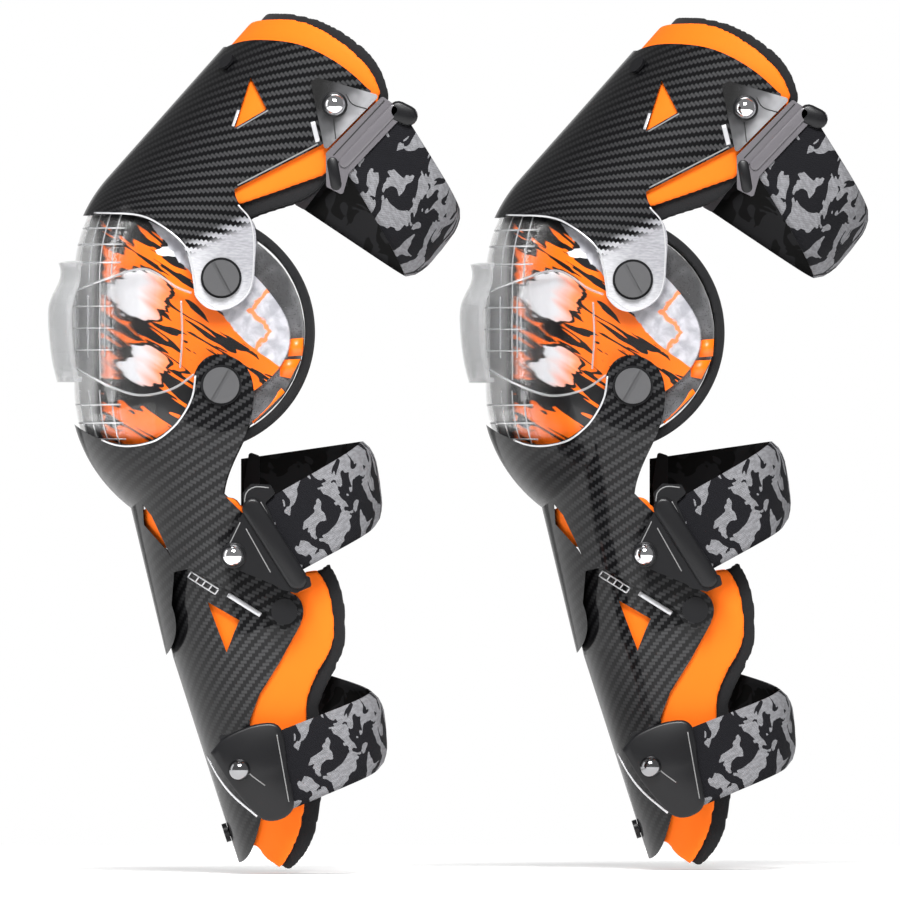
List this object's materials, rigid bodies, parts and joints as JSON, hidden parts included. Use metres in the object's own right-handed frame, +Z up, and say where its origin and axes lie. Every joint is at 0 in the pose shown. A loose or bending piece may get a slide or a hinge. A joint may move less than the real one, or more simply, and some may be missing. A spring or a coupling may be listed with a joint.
{
  "type": "pair of hinged knee and shin guards",
  "caption": "Hard-shell motorcycle knee and shin guards with a clear knee cup, hinged thigh and shin plates, foam liners and webbing straps on quick-release clips.",
  "frame": {"origin": "middle of the left guard's knee cup, half way between its two pivots", "axes": "+X to the rear of the leg, +Y across the legs from the left guard to the right, +Z up the leg"},
  "size_m": [0.4581, 0.3712, 0.4715],
  "materials": {
    "printed_shell": "glossy printed shell, abstract orange, black and white",
    "clear_shell": "clear glossy polycarbonate",
    "grey_mesh": "grey air mesh over foam",
    "black_lining": "matt black neoprene lining",
    "grey_metal": "dark satin steel",
    "black_plastic": "black moulded plastic",
    "carbon_shell": "glossy carbon twill look",
    "orange_foam": "matt orange EVA foam",
    "chrome": "polished",
    "grey_clip": "smoky grey moulded plastic",
    "grey_bar": "dark grey moulded plastic",
    "webbing": "black elastic webbing with an abstract grey weave"
  },
  "bodies": {
    "root": {"left_knee_shell": "printed_shell", "left_knee_cap": "clear_shell", "left_knee_band": "clear_shell", "left_knee_pad": "grey_mesh", "left_knee_rim": "black_lining", "left_knee_bumper": "clear_shell", "left_pivot_screws": "grey_metal", "left_pivot_washers": "black_plastic", "left_pivot_nuts": "grey_metal", "right_knee_shell": "printed_shell", "right_knee_cap": "clear_shell", "right_knee_band": "clear_shell", "right_knee_pad": "grey_mesh", "right_knee_rim": "black_lining", "right_knee_bumper": "clear_shell", "right_pivot_screws": "grey_metal", "right_pivot_washers": "black_plastic", "right_pivot_nuts": "grey_metal"},
    "left_thigh": {"left_thigh_shell": "carbon_shell", "left_thigh_foam": "orange_foam", "left_thigh_lining": "black_lining", "left_thigh_studs": "black_plastic", "left_thigh_clip_rivets": "chrome"},
    "left_thigh_band": {"left_thigh_clip": "grey_clip", "left_thigh_clip_bars": "grey_bar", "left_thigh_strap": "webbing"},
    "left_shin": {"left_shin_shell": "carbon_shell", "left_shin_foam": "orange_foam", "left_shin_clip_rivets": "chrome", "left_ankle_pivots": "black_plastic"},
    "left_shin_band": {"left_shin_clip": "black_plastic", "left_shin_strap": "webbing"},
    "left_ankle": {"left_ankle_shell": "carbon_shell", "left_ankle_foam": "orange_foam", "left_ankle_lining": "black_lining", "left_ankle_snap": "black_plastic", "left_ankle_clip_rivets": "chrome"},
    "left_ankle_band": {"left_ankle_clip": "black_plastic", "left_ankle_strap": "webbing"},
    "right_thigh": {"right_thigh_shell": "carbon_shell", "right_thigh_foam": "orange_foam", "right_thigh_lining": "black_lining", "right_thigh_studs": "black_plastic", "right_thigh_clip_rivets": "chrome"},
    "right_thigh_band": {"right_thigh_clip": "grey_clip", "right_thigh_clip_bars": "grey_bar", "right_thigh_strap": "webbing"},
    "right_shin": {"right_shin_shell": "carbon_shell", "right_shin_foam": "orange_foam", "right_shin_clip_rivets": "chrome", "right_ankle_pivots": "black_plastic"},
    "right_shin_band": {"right_shin_clip": "black_plastic", "right_shin_strap": "webbing"},
    "right_ankle": {"right_ankle_shell": "carbon_shell", "right_ankle_foam": "orange_foam", "right_ankle_lining": "black_lining", "right_ankle_snap": "black_plastic", "right_ankle_clip_rivets": "chrome"},
    "right_ankle_band": {"right_ankle_clip": "black_plastic", "right_ankle_strap": "webbing"}
  },
  "joints": [
    {"name": "left_thigh_flex", "type": "hinge", "parent": "root", "child": "left_thigh", "pos_m": [0, 0, 0.0294], "axis": [0, 1, 0], "range_deg": [-10, 20]},
    {"name": "left_shin_flex", "type": "hinge", "parent": "root", "child": "left_shin", "pos_m": [0, 0, -0.0294], "axis": [0, -1, 0], "range_deg": [-8, 20]},
    {"name": "left_ankle_flex", "type": "hinge", "parent": "left_shin", "child": "left_ankle", "pos_m": [0.0346, 0, -0.1535], "axis": [0, -1, 0], "range_deg": [-2, 4]},
    {"name": "left_thigh_band_swing", "type": "hinge", "parent": "left_thigh", "child": "left_thigh_band", "pos_m": [0.0622, 0, 0.1243], "axis": [0, -1, 0], "range_deg": [-10, 12]},
    {"name": "left_shin_band_swing", "type": "hinge", "parent": "left_shin", "child": "left_shin_band", "pos_m": [0.0066, 0, -0.1227], "axis": [0, 1, 0], "range_deg": [-4, 10]},
    {"name": "left_ankle_band_swing", "type": "hinge", "parent": "left_ankle", "child": "left_ankle_band", "pos_m": [0.0099, 0, -0.2404], "axis": [0, 1, 0], "range_deg": [-8, 8]},
    {"name": "right_thigh_flex", "type": "hinge", "parent": "root", "child": "right_thigh", "pos_m": [0.2266, 0.19, 0.0294], "axis": [0, 1, 0], "range_deg": [-10, 20]},
    {"name": "right_shin_flex", "type": "hinge", "parent": "root", "child": "right_shin", "pos_m": [0.2266, 0.19, -0.0294], "axis": [0, -1, 0], "range_deg": [-8, 20]},
    {"name": "right_ankle_flex", "type": "hinge", "parent": "right_shin", "child": "right_ankle", "pos_m": [0.2612, 0.19, -0.1535], "axis": [0, -1, 0], "range_deg": [-2, 4]},
    {"name": "right_thigh_band_swing", "type": "hinge", "parent": "right_thigh", "child": "right_thigh_band", "pos_m": [0.2888, 0.19, 0.1243], "axis": [0, -1, 0], "range_deg": [-10, 12]},
    {"name": "right_shin_band_swing", "type": "hinge", "parent": "right_shin", "child": "right_shin_band", "pos_m": [0.2332, 0.19, -0.1227], "axis": [0, 1, 0], "range_deg": [-4, 10]},
    {"name": "right_ankle_band_swing", "type": "hinge", "parent": "right_ankle", "child": "right_ankle_band", "pos_m": [0.2365, 0.19, -0.2404], "axis": [0, 1, 0], "range_deg": [-8, 8]}
  ]
}
